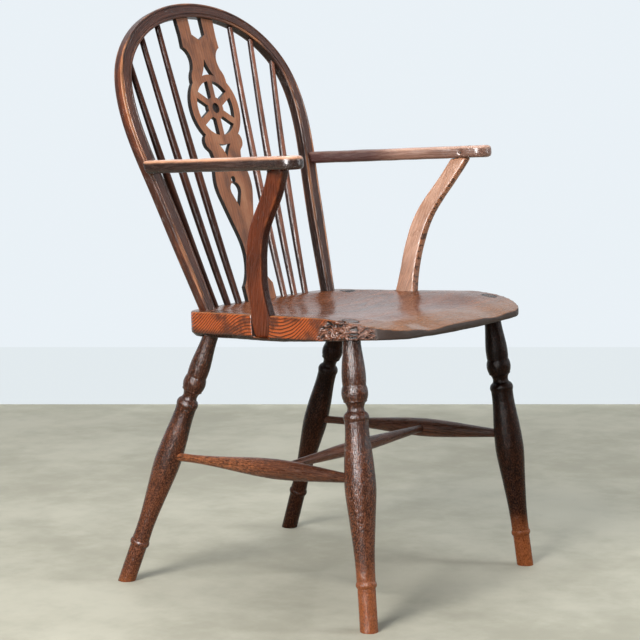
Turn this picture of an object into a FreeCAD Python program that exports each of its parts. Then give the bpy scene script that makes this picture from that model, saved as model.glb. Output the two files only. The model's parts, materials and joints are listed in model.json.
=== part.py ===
# Windsor armchair with a wheel splat: elm seat, bent bow, round sticks, turned legs, H stretcher.
# Millimetres. +Z up, the sitter faces -Y, the sitter's right is -X.
# The origin is on the floor at the middle of the box round the chair.
import FreeCAD, Part
import math
import os

V = FreeCAD.Vector
X_AXIS = V(1, 0, 0)
Y_AXIS = V(0, 1, 0)
Z_AXIS = V(0, 0, 1)
SIDES = {"right": -1, "left": 1}

# Seat plank. Its own frame has z = 0 on the rim, y along the plank, and tilts down to the rear.
seat_y = -34.5
seat_z = 430.0
seat_tilt = 2.5
seat_thick = 38.5
seat_back_half = 185.0
seat_back_y = 151.0
seat_back_bulge = 12.0
seat_front_half = 225.0
seat_front_y = -217.0
seat_front_bulge = 11.0
seat_back_corner_r = 26.0
seat_front_corner_r = 76.0
seat_edge_round = 3.0
seat_under_bevel = 7.0
under_rise_middle = 3.0
under_rise_corner = {"right": 10.0, "left": 6.0}
under_reach = 230.0

# Saddle hollow in the top of the plank.
dish_depth = 14.0
dish_half_width = 182.0
dish_centre_y = 59.0
dish_back_reach = 82.0
dish_front_reach = 330.0
thigh_depth = 14.0
thigh_x = 105.0
thigh_spread = 62.0
thigh_start_y = -50.0
lip_drop = 13.0
lip_reach = 58.0
lip_half_width = 232.0
rim_fall = {"right": 21.0, "left": 25.0}
rim_fall_start = -75.0
rim_fall_limit = 1.2
rim_spare = 2.0
blend_width = 3.0
surface_margin = 14.0
surface_grid = (29, 25)

# Legs: the foot on the floor and the socket at the seat, with the turning measured down from the seat.
front_foot = (224.6, -241.9)
front_socket = (195.9, -191.9)
rear_foot = (213.4, 215.9)
rear_socket = (172.1, 74.3)
socket_level = 400.0
leg_tenon_d = 22.0
leg_neck_r = 13.0
leg_vase = ((26.0, 15.3), (50.0, 17.3), (62.5, 16.6))
leg_ball = ((74.0, 19.0), (83.5, 16.8))
leg_fillet = (85.5, 16.8)
leg_cove = ((86.5, 15.2), (91.0, 12.6), (95.5, 12.0), (99.5, 13.4))
leg_collar = ((106.0, 18.2), (112.5, 17.2))
leg_swell = ((134.0, 17.6), (160.0, 20.1), (188.0, 22.0), (208.0, 22.4), (232.0, 20.6), (264.0, 17.6),
             (302.0, 14.6))
leg_shin = (338.5, 13.5)
leg_ankle = ((343.0, 15.1), (348.0, 12.9))
leg_foot_r = 13.0
leg_foot_end = 470.0
leg_girth = {"front": 1.0, "rear": 0.9}
turning_lift = {"front_right": 6.0, "front_left": -6.0, "rear_right": -3.0, "rear_left": 3.0}

# Stretchers.
stretcher_z_front = 211.0
stretcher_z_rear = 200.5
stretcher_socket = 16.0
stretcher_straight = 0.06
stretcher_rise = 0.42
stretcher_fall = 0.52
side_rear_r = 6.2
side_front_r = 7.0
side_swell_r = 14.8
side_swell_at = 0.585
cross_end_r = 6.0
cross_swell_r = 10.8
cross_socket = 11.0

# Bow: a flat bent hoop in a raked plane, drawn by its middle line.
bow_y = 90.5
bow_z = 430.0
bow_rake = 19.0
bow_depth = 17.5
bow_line = ((158.5, 0.0), (177.5, 100.0), (197.0, 195.0), (211.5, 265.0), (214.5, 322.0), (201.0, 377.0),
            (172.0, 415.0), (129.0, 445.0), (76.0, 464.5), (0.0, 473.5))
bow_foot_w = 20.5
bow_side_w = 26.5
bow_top_w = 22.5
bow_thicken = 70.0
bow_slim_start = 290.0
bow_slim_end = 400.0
bow_back_round = 5.5
bow_front_round = 2.0
bow_bead_inset = 4.8
bow_bead_r = 1.3
bow_tenon_d = 16.0
bow_tail = 45.0

# Sticks, from a row of sockets near the back of the seat up into the bow.
stick_row_y = 114.5
stick_seat_x = (60.0, 88.0, 119.0)
stick_bow_x = (92.5, 138.5, 183.0)
stick_foot_d = 10.4
stick_belly_d = 12.4
stick_top_d = 9.2
stick_seat_depth = 20.0
stick_bow_short = 1.5
stick_foot_run = 8.0
stick_top_run = 16.0
stick_bend = 5.0
stick_loft_degree = 3

# Splat: a thin board, pierced, with its outline given as half widths at heights above the seat.
splat_row_y = 117.0
splat_thick = 7.0
splat_seat_depth = 14.0
splat_bow_depth = 9.0
splat_foot_half = 36.5
splat_foot_step = ((36.5, 17.0), (32.5, 21.0))
splat_lower = ((22.5, 36.0), (15.3, 58.0), (14.3, 78.0), (18.8, 99.0), (26.0, 119.0), (32.8, 139.0),
               (39.0, 157.0), (43.8, 175.0), (43.4, 192.0), (39.8, 207.0), (34.0, 224.0))
splat_lower_bump = ((36.5, 235.0), (40.0, 238.5), (47.2, 250.0))
wheel_centre = 305.5
wheel_outer_r = 59.5
wheel_inner_r = 44.5
wheel_lower_meet = 262.5
wheel_upper_meet = 347.0
wheel_spokes = 6
spoke_width = 11.4
hub_r = 18.5
hub_recess_r = 8.3
hub_recess_depth = 3.5
splat_upper_bump = ((41.5, 357.0), (35.0, 368.5))
splat_waist = ((31.6, 377.5), (31.0, 386.5), (34.2, 395.5), (45.0, 405.0))
splat_prong = ((44.0, 424.0), (45.6, 449.0))
prong_inner = 16.4
notch_shoulder = 426.5
notch_apex = 417.5
upper_pierce = (15.0, 386.5, 55.0)
lower_pierce = (15.5, 225.0, 60.0)
pierce_bend = 0.38
drop_r = 12.8
drop_centre = 171.5
drop_apex = 143.0
dot_r = 5.4
dot_centre = 188.5

# Arms.
arm_z = 648.7
arm_rise = 3.0
arm_thick = 19.5
arm_rear_y = 161.0
arm_line = ((211.0, 14.0), (222.0, -104.0), (239.5, -208.5), (257.5, -289.0))
arm_half = (15.0, 15.0, 17.0, 21.0)
arm_edge_round = 5.0

# Arm supports: centre x, centre y and half widths at heights above the floor.
support_stations = ((396.0, 184.0, -34.0, 15.0), (430.0, 193.5, -35.0, 17.5), (450.0, 199.5, -34.5, 15.6),
                    (470.0, 205.0, -34.5, 14.8), (510.0, 213.5, -39.0, 14.8), (550.0, 222.5, -49.5, 15.0),
                    (590.0, 231.0, -72.0, 15.0), (640.0, 246.0, -100.5, 14.5), (664.0, 253.5, -114.5, 14.0))
support_half_thick = 9.0
support_corner_r = 4.0
support_foot_lift = 3.0
support_tenon_d = 15.0

# Small fixings and the glue line left round every tenon.
glue_gap = 0.1
wedge_thick = 2.4
wedge_tip = 0.6
wedge_depth = 22.0
arm_wedge_depth = 6.5
screw_head_d = 8.4
screw_shank_d = 4.6
screw_length = 46.0
screw_point = 8.0
screw_tip_r = 0.6
screw_head_depth = 3.4
screw_slot = 1.1
pin_d = 4.0
pin_length = 24.0
pin_inset = 2.0

# Reach of the tools that only cut or trim: past the whole chair, past a board, and just past a face.
far = 900.0
past_board = 30.0
past_face = 12.0
long_edge = 400.0
search_steps = 50

seat_place = FreeCAD.Placement(V(0, seat_y, seat_z), FreeCAD.Rotation(X_AXIS, -seat_tilt))
bow_place = FreeCAD.Placement(V(0, bow_y, bow_z), FreeCAD.Rotation(X_AXIS, 90.0 - bow_rake))
arm_place = FreeCAD.Placement(V(0, arm_rear_y, arm_z), FreeCAD.Rotation(X_AXIS, -arm_rise))


def placed(shape, placement):
    moved = shape.copy()
    moved.transformShape(placement.toMatrix())
    return moved


def slab(placement, z_low, z_high):
    """A wide slab between two heights of a tilted frame, for trimming."""
    box = Part.makeBox(2 * far, 2 * far, z_high - z_low, V(-far, -far, z_low))
    return placed(box, placement)


def edge_through(points):
    """A line through two points, an arc through three, and a smooth curve through more."""
    vectors = [V(p[0], p[1], 0) for p in points]
    if len(vectors) == 2:
        return Part.LineSegment(vectors[0], vectors[1]).toShape()
    if len(vectors) == 3:
        return Part.Arc(vectors[0], vectors[1], vectors[2]).toShape()
    curve = Part.BSplineCurve()
    curve.interpolate(vectors)
    return curve.toShape()


def closed_face(runs):
    edges = [edge_through(run) for run in runs]
    wire = Part.Wire(Part.__sortEdges__(edges))
    return Part.Face(wire)


def mirrored(runs):
    """The runs of a right half outline followed by their mirror images."""
    other = [[(-p[0], p[1]) for p in reversed(run)] for run in reversed(runs)]
    return list(runs) + other


def joined(runs):
    """Each run takes the last point of the run before it as its first point."""
    result = [list(runs[0])]
    for run in runs[1:]:
        result.append([result[-1][-1]] + list(run))
    return result


def axis_rotation(direction):
    return FreeCAD.Rotation(Z_AXIS, direction)


def turned(runs, base, direction):
    """A solid of revolution: runs of (distance along the axis, radius), stood at base along direction."""
    start = runs[0][0]
    end = runs[-1][-1]
    outline = [[(0.0, start[0]), (start[1], start[0])]]
    outline += [[(r, d) for d, r in run] for run in runs]
    outline += [[(end[1], end[0]), (0.0, end[0])], [(0.0, end[0]), (0.0, start[0])]]
    edges = []
    for run in outline:
        flat = edge_through(run)
        flat.rotate(V(0, 0, 0), X_AXIS, 90)
        edges.append(flat)
    solid = Part.Face(Part.Wire(Part.__sortEdges__(edges))).revolve(V(0, 0, 0), Z_AXIS, 360)
    return placed(solid, FreeCAD.Placement(base, axis_rotation(direction)))


def rod(start, end, diameter):
    direction = end - start
    return Part.makeCylinder(diameter / 2.0, direction.Length, start, direction)


def one_solid(shape, name):
    solids = shape.Solids
    if len(solids) != 1:
        raise ValueError(name + " has " + str(len(solids)) + " solids")
    return solids[0]


def save(name, shape):
    shape.exportStep("parts/" + name + ".step")


def front_edge_at(x):
    """Where the seat's front edge lies, in its own frame, with the round corners followed."""
    edge = seat_front_y - seat_front_bulge * (1.0 - (x / seat_front_half) ** 2)
    radius = seat_front_corner_r
    over = min(max(abs(x) - (seat_front_half - radius), 0.0), 0.96 * radius)
    return edge + radius - math.sqrt(radius ** 2 - over ** 2)


def side_value(pair, x):
    """A value that runs evenly across the seat from its right-hand to its left-hand figure."""
    share = (x / seat_front_half + 1.0) / 2.0
    return pair["right"] + (pair["left"] - pair["right"]) * share


def under_height(x, y):
    """Height of the underside over its own plane: it sweeps up to the front edge."""
    edge = front_edge_at(x)
    share = max((edge + under_reach - y) / under_reach, 0.0)
    extra = side_value(under_rise_corner, x) - under_rise_middle
    rise = under_rise_middle + extra * (x / seat_front_half) ** 2
    return rise * share ** 1.5 - rim_spare * max(1.0 - 2.0 * share, 0.0)


def saddle_height(x, y):
    """Height of the carved top over the rim plane, above zero where the rim is left uncut."""
    reach = dish_back_reach if y > dish_centre_y else dish_front_reach
    bowl = 1.0 - (x / dish_half_width) ** 2 - ((y - dish_centre_y) / reach) ** 2
    front_edge = seat_front_y - seat_front_bulge
    ramp = min(max((thigh_start_y - y) / (thigh_start_y - front_edge), 0.0), 1.0)
    ramp = ramp * ramp * (3.0 - 2.0 * ramp)
    thigh = thigh_depth * ramp * math.exp(-((abs(x) - thigh_x) / thigh_spread) ** 2)
    roll = max((front_edge + lip_reach - y) / lip_reach, 0.0)
    lip = lip_drop * roll * roll * max(1.0 - (x / lip_half_width) ** 4, 0.0)
    hollow = -dish_depth * bowl - thigh - lip
    fade = min(max((rim_fall_start - y) / (rim_fall_start - front_edge), 0.0), rim_fall_limit)
    rim = rim_spare - (rim_spare + side_value(rim_fall, x)) * fade * fade
    return (hollow + rim - math.hypot(hollow - rim, blend_width)) / 2.0


def height_surface(height, base):
    """A smooth surface over the whole seat at a height that a function gives."""
    count_x, count_y = surface_grid
    half = seat_front_half + surface_margin
    low = seat_front_y - seat_front_bulge - surface_margin
    high = seat_back_y + seat_back_bulge + surface_margin
    grid = []
    for i in range(count_x):
        x = -half + 2 * half * i / (count_x - 1)
        column = []
        for j in range(count_y):
            y = low + (high - low) * j / (count_y - 1)
            column.append(V(x, y, base + height(x, y)))
        grid.append(column)
    surface = Part.BSplineSurface()
    surface.interpolate(grid)
    return surface.toShape()


def seat_blank():
    back = [(-seat_back_half, seat_back_y), (0.0, seat_back_y + seat_back_bulge),
            (seat_back_half, seat_back_y)]
    front = [(seat_front_half, seat_front_y), (0.0, seat_front_y - seat_front_bulge),
             (-seat_front_half, seat_front_y)]
    face = closed_face([back, [back[-1], front[0]], front, [front[-1], back[0]]])
    board = placed(face, FreeCAD.Placement(V(0, 0, -seat_thick), FreeCAD.Rotation()))
    board = board.extrude(V(0, 0, seat_thick))
    upright = [e for e in board.Edges if abs(e.tangentAt(e.FirstParameter).z) > 0.99]
    rear = [e for e in upright if e.CenterOfMass.y > 0]
    fore = [e for e in upright if e.CenterOfMass.y < 0]
    board = board.makeFillet(seat_back_corner_r, rear)
    fore = [e for e in board.Edges if abs(e.tangentAt(e.FirstParameter).z) > 0.99
            and any(e.CenterOfMass.distanceToPoint(f.CenterOfMass) < 1.0 for f in fore)]
    board = board.makeFillet(seat_front_corner_r, fore)
    under = [e for e in board.Edges if e.BoundBox.ZMax < -seat_thick + 0.01]
    board = board.makeChamfer(seat_under_bevel, under)
    upper = [e for e in board.Edges if e.BoundBox.ZMin > -0.01]
    board = board.makeFillet(seat_edge_round, upper)
    carved = height_surface(saddle_height, 0.0).extrude(V(0, 0, 2.0 * seat_thick))
    relief = height_surface(under_height, -seat_thick).extrude(V(0, 0, -2.0 * seat_thick))
    return one_solid(board.cut(carved).cut(relief), "seat blank")


def leg_axis(foot, socket, side):
    start = V(side * foot[0], foot[1], 0)
    through = V(side * socket[0], socket[1], socket_level)
    return start, (through - start).normalize()


def at_height(start, direction, z):
    return start + direction * ((z - start.z) / direction.z)


def meet_plane(start, direction, placement, height):
    """Where a line meets the plane at a height in a tilted frame."""
    normal = placement.Rotation.multVec(Z_AXIS)
    origin = placement.multVec(V(0, 0, height))
    return start + direction * ((origin - start).dot(normal) / direction.dot(normal))


def leg_runs(lift, girth):
    upper = [list(leg_vase), list(leg_ball), [leg_fillet], list(leg_cove), list(leg_collar), list(leg_swell)]
    upper = [[(d, r * girth) for d, r in run] for run in upper]
    upper[-1].append(leg_shin)
    lower = [list(leg_ankle), [(leg_foot_end, leg_foot_r)]]
    shifted = [[(d - lift, r) for d, r in run] for run in upper + lower]
    neck = leg_neck_r * girth
    return joined([[(-0.6 * seat_thick, neck), (0.0, neck)]] + shifted)


def tenon_wedge(top, direction, across, diameter, depth, blank):
    """A thin wedge driven into the end of a tenon, lying across it."""
    side = across.cross(direction).normalize()
    half = diameter / 2.0
    tip = top - direction * depth
    head = top + direction * past_face
    grow = (wedge_thick - wedge_tip) / depth
    head_thick = wedge_thick + grow * past_face
    corners = []
    for point, thick in ((tip, wedge_tip), (head, head_thick)):
        for sign in (-1, 1):
            corners.append(point + side * (sign * thick / 2.0))
    ring = [corners[0], corners[1], corners[3], corners[2], corners[0]]
    start = across * -diameter
    flat = Part.Face(Part.makePolygon([c + start for c in ring]))
    wedge = flat.extrude(across * (2 * diameter))
    core = Part.makeCylinder(half, depth + 2 * past_face, tip - direction * past_face, direction)
    return one_solid(wedge.common(core).common(blank), "wedge")


def build_leg(name, foot, socket, side, blank):
    start, direction = leg_axis(foot, socket, side)
    seat_under = meet_plane(start, direction, seat_place, -seat_thick)
    seat_top = meet_plane(start, direction, seat_place, 0.0)
    runs = leg_runs(turning_lift[name], leg_girth[name.split("_")[0]])
    body = turned(runs, seat_under, direction * -1.0).cut(blank)
    body = body.cut(Part.makeBox(2 * far, 2 * far, far, V(-far, -far, -far)))
    axis_end = seat_top + direction * past_board
    tenon = rod(seat_under - direction * past_face, axis_end, leg_tenon_d).common(blank)
    wedge_top = tenon_top(seat_under, direction, tenon)
    wedge = tenon_wedge(wedge_top, direction, X_AXIS, leg_tenon_d, wedge_depth, blank)
    leg = body.fuse(tenon).cut(wedge)
    hole = rod(seat_under - direction * past_board, axis_end, leg_tenon_d + 2 * glue_gap)
    return one_solid(leg.removeSplitter(), name), wedge, hole


def tenon_top(base, direction, tenon):
    reach = max((v.Point - base).dot(direction) for v in tenon.Vertexes)
    return base + direction * reach


def stretcher_runs(length, start_r, end_r, swell_r, swell_at):
    """A straight end, one long swelling and a straight end."""
    first = stretcher_straight * length
    middle = swell_at * length
    rising = 0.55 * middle
    falling = 0.5 * (length + middle)
    swell = [(rising, start_r + stretcher_rise * (swell_r - start_r)), (middle, swell_r),
             (falling, end_r + stretcher_fall * (swell_r - end_r)), (length - first, end_r)]
    return joined([[(0.0, start_r), (first, start_r)], swell, [(length, end_r)]])


def bow_half_width(s):
    """Half the width of the bow: narrow at the foot, full at the sides, slighter over the top."""
    foot = min(max(s / bow_thicken, 0.0), 1.0)
    slim = min(max((s - bow_slim_start) / (bow_slim_end - bow_slim_start), 0.0), 1.0)
    width = bow_foot_w + (bow_side_w - bow_foot_w) * foot
    return (width + (bow_top_w - bow_side_w) * slim) / 2.0


def bow_points():
    """Points of the whole middle line with their outward normals, right foot to left foot."""
    foot_x, foot_s = bow_line[0]
    next_x, next_s = bow_line[1]
    lean = (next_x - foot_x) / (next_s - foot_s)
    half = [(foot_x - lean * bow_tail, foot_s - bow_tail)] + list(bow_line)
    points = [V(-x, s, 0) for x, s in half] + [V(x, s, 0) for x, s in reversed(half[:-1])]
    curve = Part.BSplineCurve()
    curve.interpolate(points)
    samples = []
    for p in points:
        tangent = curve.tangent(curve.parameter(p))[0]
        samples.append((p, V(-tangent.y, tangent.x, 0)))
    return samples, curve


def bow_offset(samples, share, inset):
    """A curve along the bow: share 1 is the outer edge, -1 the inner edge, less an inset."""
    shifted = []
    for p, normal in samples:
        shifted.append(p + normal * (share * (bow_half_width(p.y) - inset)))
    curve = Part.BSplineCurve()
    curve.interpolate(shifted)
    return curve.toShape()


def build_bow(blank):
    samples, middle = bow_points()
    outer = bow_offset(samples, 1, 0.0)
    inner = bow_offset(samples, -1, 0.0)
    ends = []
    for pick in (0, -1):
        a = outer.Vertexes[pick].Point
        b = inner.Vertexes[pick].Point
        ends.append(Part.LineSegment(a, b).toShape())
    face = Part.Face(Part.Wire(Part.__sortEdges__([outer, ends[0], inner, ends[1]])))
    hoop = face.extrude(V(0, 0, -bow_depth))
    long_edges = [e for e in hoop.Edges if e.Length > long_edge]
    back = [e for e in long_edges if e.BoundBox.ZMax < -bow_depth + 0.5]
    hoop = hoop.makeFillet(bow_back_round, back)
    front = [e for e in hoop.Edges if e.Length > long_edge and e.BoundBox.ZMin > -0.5]
    hoop = hoop.makeFillet(bow_front_round, front)
    for share in (1, -1):
        line = bow_offset(samples, share, bow_bead_inset)
        start = line.valueAt(line.FirstParameter)
        heading = line.tangentAt(line.FirstParameter)
        ring = Part.Wire(Part.makeCircle(bow_bead_r, start, heading))
        groove = Part.Wire(line).makePipeShell([ring], True, False)
        hoop = hoop.cut(groove)
    bow = placed(one_solid(hoop, "bow hoop"), bow_place).cut(slab(seat_place, -far, 0.0))
    wedges = []
    holes = []
    foot_x, foot_s = bow_line[0]
    next_x, next_s = bow_line[1]
    for side in SIDES.values():
        low = bow_place.multVec(V(side * foot_x, foot_s, -bow_depth / 2.0))
        high = bow_place.multVec(V(side * next_x, next_s, -bow_depth / 2.0))
        direction = (low - high).normalize()
        top = meet_plane(low, direction, seat_place, 0.0)
        under = meet_plane(low, direction, seat_place, -seat_thick)
        tenon = rod(top - direction * past_face, under + direction * past_face, bow_tenon_d)
        start = top - direction * past_board
        holes.append(rod(start, under + direction * past_board, bow_tenon_d + 2 * glue_gap))
        inside = tenon.common(blank)
        end = tenon_top(top, direction, inside)
        wedge = tenon_wedge(end, direction, X_AXIS, bow_tenon_d, wedge_depth, blank)
        bow = bow.fuse(inside).cut(wedge)
        wedges.append(wedge)
    return one_solid(bow.removeSplitter(), "bow"), wedges, holes, middle


def bow_top_at(x, middle):
    """The point of the bow's middle line over a given x, in the middle of its depth."""
    low = middle.parameter(V(0, bow_line[-1][1], 0))
    high = middle.parameter(V(bow_line[4][0], bow_line[4][1], 0))
    for _ in range(search_steps):
        centre = (low + high) / 2.0
        if middle.value(centre).x < x:
            low = centre
        else:
            high = centre
    point = middle.value(low)
    return V(point.x, point.y, -bow_depth / 2.0)


def stick_form(low, high, grow):
    """A stick along a shallow arc, foot to top, made larger all round by grow."""
    chord = high - low
    length = chord.Length
    along = chord * (1.0 / length)
    back = (Y_AXIS - along * along.y).normalize()
    arc = Part.Arc(low, low + chord * 0.5 + back * stick_bend, high)
    foot_run = stick_seat_depth + stick_foot_run
    belly_d = stick_belly_d
    stations = ((0.0, stick_foot_d), (foot_run, stick_foot_d),
                (0.22 * length, 0.5 * (stick_foot_d + belly_d)), (0.4 * length, belly_d),
                (0.7 * length, 0.5 * (stick_top_d + belly_d)),
                (length - stick_top_run, stick_top_d), (length, stick_top_d))
    first, last = arc.FirstParameter, arc.LastParameter
    rings = []
    for at, diameter in stations:
        u = first + (last - first) * at / length
        centre = arc.value(u)
        ahead = arc.tangent(u)[0]
        if at == 0.0:
            centre = centre - ahead * grow
        if at == length:
            centre = centre + ahead * grow
        circle = Part.Circle(centre, ahead, diameter / 2.0 + grow)
        rings.append(Part.Wire(circle.toShape()))
    return Part.makeLoft(rings, True, False, False, stick_loft_degree)


def build_stick(side, seat_x, bow_x, middle):
    top = bow_top_at(bow_x, middle)
    high = bow_place.multVec(V(side * top.x, top.y, top.z))
    low = V(side * seat_x, stick_row_y, seat_z)
    direction = (high - low).normalize()
    base = meet_plane(low, direction, seat_place, 0.0) - direction * stick_seat_depth
    tip = high - direction * stick_bow_short
    stick = one_solid(stick_form(base, tip, 0.0), "stick")
    return stick, stick_form(base, tip, glue_gap)


def wheel_meet_half(height):
    """Half width of the wheel's rim at a height on the splat."""
    return math.sqrt(wheel_outer_r ** 2 - (height - wheel_centre) ** 2)


def splat_face(bottom, top):
    lower_meet = (wheel_meet_half(wheel_lower_meet), wheel_lower_meet)
    upper_meet = (wheel_meet_half(wheel_upper_meet), wheel_upper_meet)
    runs = joined([
        [(0.0, bottom), (splat_foot_half, bottom)],
        [splat_foot_step[0]],
        [splat_foot_step[1]],
        list(splat_lower),
        [splat_lower_bump[0]],
        [splat_lower_bump[1]],
        [splat_lower_bump[2], lower_meet],
        [(wheel_outer_r, wheel_centre), upper_meet],
        list(splat_upper_bump),
        list(splat_waist),
        [splat_prong[0]],
        [splat_prong[1]],
        [(splat_prong[1][0], top)],
        [(prong_inner, top)],
        [(prong_inner, notch_shoulder)],
        [(0.0, notch_apex)],
    ])
    return closed_face(mirrored(runs))


def wheel_openings(thick):
    """The spaces between the spokes of the wheel, as one tool."""
    base = V(0, wheel_centre, -thick)
    disc = Part.makeCylinder(wheel_inner_r, 2 * thick, base)
    keep = Part.makeCylinder(hub_r, 2 * thick, base)
    for k in range(wheel_spokes):
        spoke = Part.makeBox(wheel_outer_r, spoke_width, 2 * thick, V(0, -spoke_width / 2.0, -thick))
        spoke.rotate(V(0, 0, 0), Z_AXIS, 90.0 + 360.0 * k / wheel_spokes)
        spoke.translate(V(0, wheel_centre, 0))
        keep = keep.fuse(spoke)
    return disc.cut(keep)


def pierced_shapes(thick):
    """Two three-cornered holes that follow the wheel's rim and a drop with a round dot over it."""
    tools = []
    for half, apex, radius in (upper_pierce, lower_pierce):
        sign = 1 if apex > wheel_centre else -1
        corner = wheel_centre + sign * math.sqrt(radius ** 2 - half ** 2)
        crest = wheel_centre + sign * radius
        bend = pierce_bend * half
        lean = 0.5 * (corner + apex)
        tools.append(closed_face([[(-half, corner), (0.0, crest), (half, corner)],
                                  [(half, corner), (bend, lean), (0.0, apex)],
                                  [(0.0, apex), (-bend, lean), (-half, corner)]]))
    drop = drop_centre - drop_apex
    tangent_y = drop_centre - drop_r ** 2 / drop
    tangent_x = drop_r * math.sqrt(1.0 - (drop_r / drop) ** 2)
    tools.append(closed_face([[(-tangent_x, tangent_y), (0.0, drop_centre + drop_r), (tangent_x, tangent_y)],
                              [(tangent_x, tangent_y), (0.0, drop_apex)],
                              [(0.0, drop_apex), (-tangent_x, tangent_y)]]))
    solids = []
    for face in tools:
        face.translate(V(0, 0, -thick))
        solids.append(face.extrude(V(0, 0, 2 * thick)))
    solids.append(Part.makeCylinder(dot_r, 2 * thick, V(0, dot_centre, -thick)))
    return solids


def build_splat(middle):
    low = V(0, splat_row_y, seat_z)
    crown = bow_top_at(0.5 * (prong_inner + splat_prong[1][0]), middle)
    high = bow_place.multVec(V(0, crown.y, crown.z))
    rake = math.degrees(math.atan2(high.y - low.y, high.z - low.z))
    place = FreeCAD.Placement(low, FreeCAD.Rotation(X_AXIS, 90.0 - rake))
    reach = (high - low).Length
    top = reach - bow_top_w / 2.0 + splat_bow_depth
    seat_level = seat_rim_height(splat_row_y) - seat_z
    face = splat_face(seat_level - splat_seat_depth, top)
    face.translate(V(0, 0, -splat_thick / 2.0))
    board = face.extrude(V(0, 0, splat_thick))
    board = board.cut(wheel_openings(splat_thick))
    for tool in pierced_shapes(splat_thick):
        board = board.cut(tool)
    recess_base = V(0, wheel_centre, splat_thick / 2.0 - hub_recess_depth)
    board = board.cut(Part.makeCylinder(hub_recess_r, splat_thick, recess_base))
    return one_solid(placed(board, place), "splat")


def seat_rim_height(y):
    """Height of the seat's rim plane over the floor."""
    return seat_z - (y - seat_y) * math.tan(math.radians(seat_tilt))


def arm_blank(side):
    points = [V(x, y, 0) for x, y in arm_line]
    middle = Part.BSplineCurve()
    middle.interpolate(points)
    outer = []
    inner = []
    for p, half in zip(points, arm_half):
        tangent = middle.tangent(middle.parameter(p))[0]
        normal = V(-tangent.y, tangent.x, 0)
        outer.append(p + normal * half)
        inner.append(p - normal * half)
        nose = p + tangent * half
    edges = []
    for line in (outer, inner):
        curve = Part.BSplineCurve()
        curve.interpolate(line)
        edges.append(curve.toShape())
    edges.append(Part.Arc(outer[-1], nose, inner[-1]).toShape())
    edges.append(Part.LineSegment(outer[0], inner[0]).toShape())
    face = Part.Face(Part.Wire(Part.__sortEdges__(edges)))
    face.translate(V(0, 0, -arm_thick))
    arm = face.extrude(V(0, 0, arm_thick))
    rounded = [e for e in arm.Edges if abs(e.tangentAt(e.FirstParameter).z) < 0.5
               and abs(e.CenterOfMass.y - arm_line[0][1]) > 4.0]
    arm = arm.makeFillet(min(arm_edge_round, 0.45 * arm_thick), rounded)
    if side < 0:
        arm = arm.mirror(V(0, 0, 0), X_AXIS)
    arm = placed(arm, arm_place)
    return one_solid(arm.cut(slab(bow_place, -far, 0.0)), "arm blank")


def rounded_section(x_low, x_high, y_low, y_high, z, radius):
    """A rounded rectangle at a height, started at the same corner each time."""
    corners = [(x_low, y_low), (x_high, y_low), (x_high, y_high), (x_low, y_high)]
    edges = []
    for i in range(4):
        x, y = corners[i]
        sx = 1 if x == x_low else -1
        sy = 1 if y == y_low else -1
        centre = V(x + sx * radius, y + sy * radius, z)
        ends = [V(x, centre.y, z), V(centre.x, y, z)]
        if i % 2:
            ends.reverse()
        bend = V(centre.x - sx * radius * math.sqrt(0.5), centre.y - sy * radius * math.sqrt(0.5), z)
        edges.append((ends[0], bend, ends[1]))
    wire = []
    for i in range(4):
        a, b, c = edges[i]
        wire.append(Part.Arc(a, b, c).toShape())
        wire.append(Part.LineSegment(c, edges[(i + 1) % 4][0]).toShape())
    return Part.Wire(wire)


def support_loft(side, stations, grow, open_outward):
    wires = []
    for z, x, y, half in stations:
        x_low = x - support_half_thick - grow
        x_high = x + support_half_thick + grow
        if open_outward:
            x_high = seat_front_half + past_board
        section = rounded_section(x_low, x_high, y - half - grow, y + half + grow, z, support_corner_r)
        wires.append(section)
    body = Part.makeLoft(wires, True, False)
    return body.mirror(V(0, 0, 0), X_AXIS) if side < 0 else body


def support_axis(side):
    """The line of the support's upper end, which its tenon follows into the arm."""
    z1, x1, y1, _ = support_stations[-2]
    z2, x2, y2, _ = support_stations[-1]
    low = V(side * x1, y1, z1)
    return low, (V(side * x2, y2, z2) - low).normalize()


def build_support(side, arm):
    body = support_loft(side, support_stations, 0.0, False)
    body = body.cut(slab(arm_place, -arm_thick, far))
    body = body.cut(slab(seat_place, -far, -seat_thick + support_foot_lift))
    low, direction = support_axis(side)
    start = meet_plane(low, direction, arm_place, -arm_thick)
    end = meet_plane(low, direction, arm_place, 0.0)
    tenon = rod(start - direction * past_face, end + direction * past_face, support_tenon_d)
    tenon = tenon.common(slab(arm_place, -far, 0.0))
    hole = rod(start - direction * past_board, end + direction * past_face, support_tenon_d + 2 * glue_gap)
    across = V(-direction.y, direction.x, 0).normalize()
    inside = arm.common(tenon)
    top = tenon_top(start, direction, inside)
    wedge = tenon_wedge(top, direction, across, support_tenon_d, arm_wedge_depth, arm)
    support = body.fuse(tenon).cut(wedge)
    mid = (start + end) * 0.5
    pin_dir = V(side, 0, 0)
    pin_start = mid - pin_dir * (arm_half[-1] - pin_inset)
    return one_solid(support.removeSplitter(), "support"), hole, wedge, pin_start, pin_dir


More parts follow.
